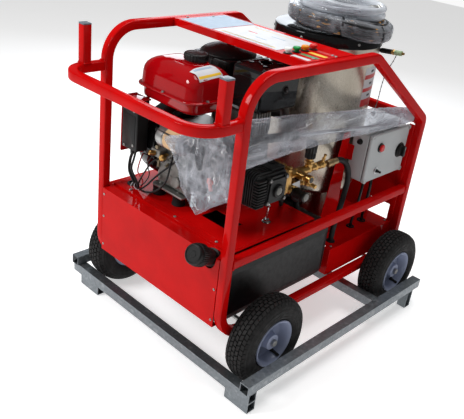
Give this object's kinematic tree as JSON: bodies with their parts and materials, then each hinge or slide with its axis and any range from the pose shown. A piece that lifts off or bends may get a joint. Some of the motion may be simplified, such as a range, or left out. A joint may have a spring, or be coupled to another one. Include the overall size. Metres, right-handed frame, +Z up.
{
  "type": "hot water pressure washer",
  "caption": "Engine-driven hot water pressure washer: tube frame on pneumatic wheels with engine, plunger pump, upright boiler, water tank and control box, chocked in a steel transport skid.",
  "frame": {"origin": "on the floor under the middle of the machine with its handle, wheels and skid", "axes": "+X towards the pump and control box side, -Y towards the handle bar, +Z up"},
  "size_m": [0.996, 1.284, 1.193],
  "materials": {
    "galvanised_tube": "satin",
    "red_paint": "gloss",
    "cap_plastic": "matte",
    "nozzle_white": "matte",
    "nozzle_green": "gloss",
    "nozzle_yellow": "gloss",
    "nozzle_red": "gloss",
    "tank_plastic": "matte",
    "stainless": "satin",
    "black_paint": "satin",
    "cast_alloy": "cast",
    "starter_metal": "plated",
    "bright_metal": "gloss",
    "brass": "machined",
    "hose_rubber": "matte",
    "clear_hose": "gloss",
    "grey_plastic": "satin",
    "button_red": "gloss",
    "tyre_rubber": "matte",
    "rim_paint": "satin",
    "gun_plastic": "matte",
    "trigger_orange": "gloss",
    "clear_film": "gloss"
  },
  "bodies": {
    "chassis": {"skid_rail_left": "galvanised_tube", "skid_rail_right": "galvanised_tube", "skid_crossbar_front": "galvanised_tube", "skid_crossbar_middle": "galvanised_tube", "side_frame_left": "red_paint", "side_frame_right": "red_paint", "rear_cross_tube_upper": "red_paint", "rear_cross_tube_lower": "red_paint", "handle_bar": "red_paint", "front_panel": "red_paint", "rear_panel": "red_paint", "engine_deck": "red_paint", "boiler_shelf": "red_paint", "control_bracket": "red_paint", "instrument_tray": "red_paint", "fuel_tank": "red_paint", "upright_cap_left": "cap_plastic", "upright_cap_right": "cap_plastic", "water_tank": "tank_plastic", "air_cleaner": "tank_plastic", "switch_box": "tank_plastic", "boiler_drum": "stainless", "boiler_lid": "black_paint", "muffler_guard": "black_paint", "fan_housing": "black_paint", "pump_crankcase": "black_paint", "engine_base": "cast_alloy", "engine_block": "cast_alloy", "starter_motor": "starter_metal", "axle_front": "bright_metal", "axle_rear": "bright_metal", "pump_manifold": "brass", "outlet_hose": "hose_rubber", "control_box": "grey_plastic", "control_cover": "grey_plastic", "spray_gun": "gun_plastic", "lance_bag": "clear_film", "pressure_hose_coil": "hose_rubber", "supply_hose_coil": "clear_hose"},
    "wheel_front_left": {"tyre_front_left": "tyre_rubber", "rim_front_left": "rim_paint"},
    "wheel_front_right": {"tyre_front_right": "tyre_rubber", "rim_front_right": "rim_paint"},
    "wheel_rear_left": {"tyre_rear_left": "tyre_rubber", "rim_rear_left": "rim_paint"},
    "wheel_rear_right": {"tyre_rear_right": "tyre_rubber", "rim_rear_right": "rim_paint"},
    "tank_filler_cap": {"filler_cap": "tank_plastic"},
    "fuel_filler_cap": {"fuel_cap": "tank_plastic"},
    "pressure_knob": {"unloader_knob": "tank_plastic"},
    "stop_push_button": {"stop_button": "button_red"},
    "heat_selector": {"selector_knob": "tank_plastic"},
    "burner_toggle": {"toggle_switch": "tank_plastic"},
    "start_key": {"ignition_key": "bright_metal"},
    "throttle": {"throttle_lever": "bright_metal"},
    "lance_trigger": {"gun_trigger": "trigger_orange"},
    "spray_nozzle_white": {"nozzle_white": "nozzle_white"},
    "spray_nozzle_green": {"nozzle_green": "nozzle_green"},
    "spray_nozzle_yellow": {"nozzle_yellow": "nozzle_yellow"},
    "spray_nozzle_red": {"nozzle_red": "nozzle_red"}
  },
  "joints": [
    {"name": "wheel_front_left_spin", "type": "hinge", "parent": "chassis", "child": "wheel_front_left", "pos_m": [-0.3915, -0.286, 0.163], "axis": [1, 0, 0], "continuous": true},
    {"name": "wheel_front_right_spin", "type": "hinge", "parent": "chassis", "child": "wheel_front_right", "pos_m": [0.3915, -0.286, 0.163], "axis": [1, 0, 0], "continuous": true},
    {"name": "wheel_rear_left_spin", "type": "hinge", "parent": "chassis", "child": "wheel_rear_left", "pos_m": [-0.3915, 0.482, 0.163], "axis": [1, 0, 0], "continuous": true},
    {"name": "wheel_rear_right_spin", "type": "hinge", "parent": "chassis", "child": "wheel_rear_right", "pos_m": [0.3915, 0.482, 0.163], "axis": [1, 0, 0], "continuous": true},
    {"name": "filler_cap_turn", "type": "hinge", "parent": "chassis", "child": "tank_filler_cap", "pos_m": [0.2567, -0.52, 0.5082], "axis": [0, -0.902, 0.4317], "range_deg": [0, 120]},
    {"name": "fuel_cap_turn", "type": "hinge", "parent": "chassis", "child": "fuel_filler_cap", "pos_m": [-0.105, -0.25, 1], "axis": [0, 0, 1], "range_deg": [0, 90]},
    {"name": "pressure_knob_turn", "type": "hinge", "parent": "chassis", "child": "pressure_knob", "pos_m": [0.238, 0.009, 0.74], "axis": [0, 0, 1], "range_deg": [-270, 270]},
    {"name": "stop_button_press", "type": "slide", "parent": "chassis", "child": "stop_push_button", "axis": [-1, 0, 0], "range_m": [0, 0.004], "stiffness_N_per_m": 400},
    {"name": "heat_selector_turn", "type": "hinge", "parent": "chassis", "child": "heat_selector", "pos_m": [0.305, 0.518, 0.655], "axis": [1, 0, 0], "range_deg": [0, 270]},
    {"name": "burner_toggle_flip", "type": "hinge", "parent": "chassis", "child": "burner_toggle", "pos_m": [0.297, 0.367, 0.6], "axis": [0, 1, 0], "range_deg": [-12, 12]},
    {"name": "start_key_turn", "type": "hinge", "parent": "chassis", "child": "start_key", "pos_m": [-0.29, -0.392, 0.742], "axis": [1, 0, 0], "range_deg": [0, 60]},
    {"name": "throttle_swing", "type": "hinge", "parent": "chassis", "child": "throttle", "pos_m": [0.012, -0.348, 0.704], "axis": [0, 1, 0], "range_deg": [-45, 20]},
    {"name": "trigger_squeeze", "type": "hinge", "parent": "chassis", "child": "lance_trigger", "pos_m": [0.195, -0.411, 0.823], "axis": [0, 1, 0], "range_deg": [0, 6], "stiffness_Nm_per_rad": 0.5, "springref_deg": -2.86},
    {"name": "nozzle_white_pull", "type": "slide", "parent": "chassis", "child": "spray_nozzle_white", "axis": [0, 0, 1], "range_m": [0, 0.03]},
    {"name": "nozzle_green_pull", "type": "slide", "parent": "chassis", "child": "spray_nozzle_green", "axis": [0, 0, 1], "range_m": [0, 0.03]},
    {"name": "nozzle_yellow_pull", "type": "slide", "parent": "chassis", "child": "spray_nozzle_yellow", "axis": [0, 0, 1], "range_m": [0, 0.03]},
    {"name": "nozzle_red_pull", "type": "slide", "parent": "chassis", "child": "spray_nozzle_red", "axis": [0, 0, 1], "range_m": [0, 0.03]}
  ]
}
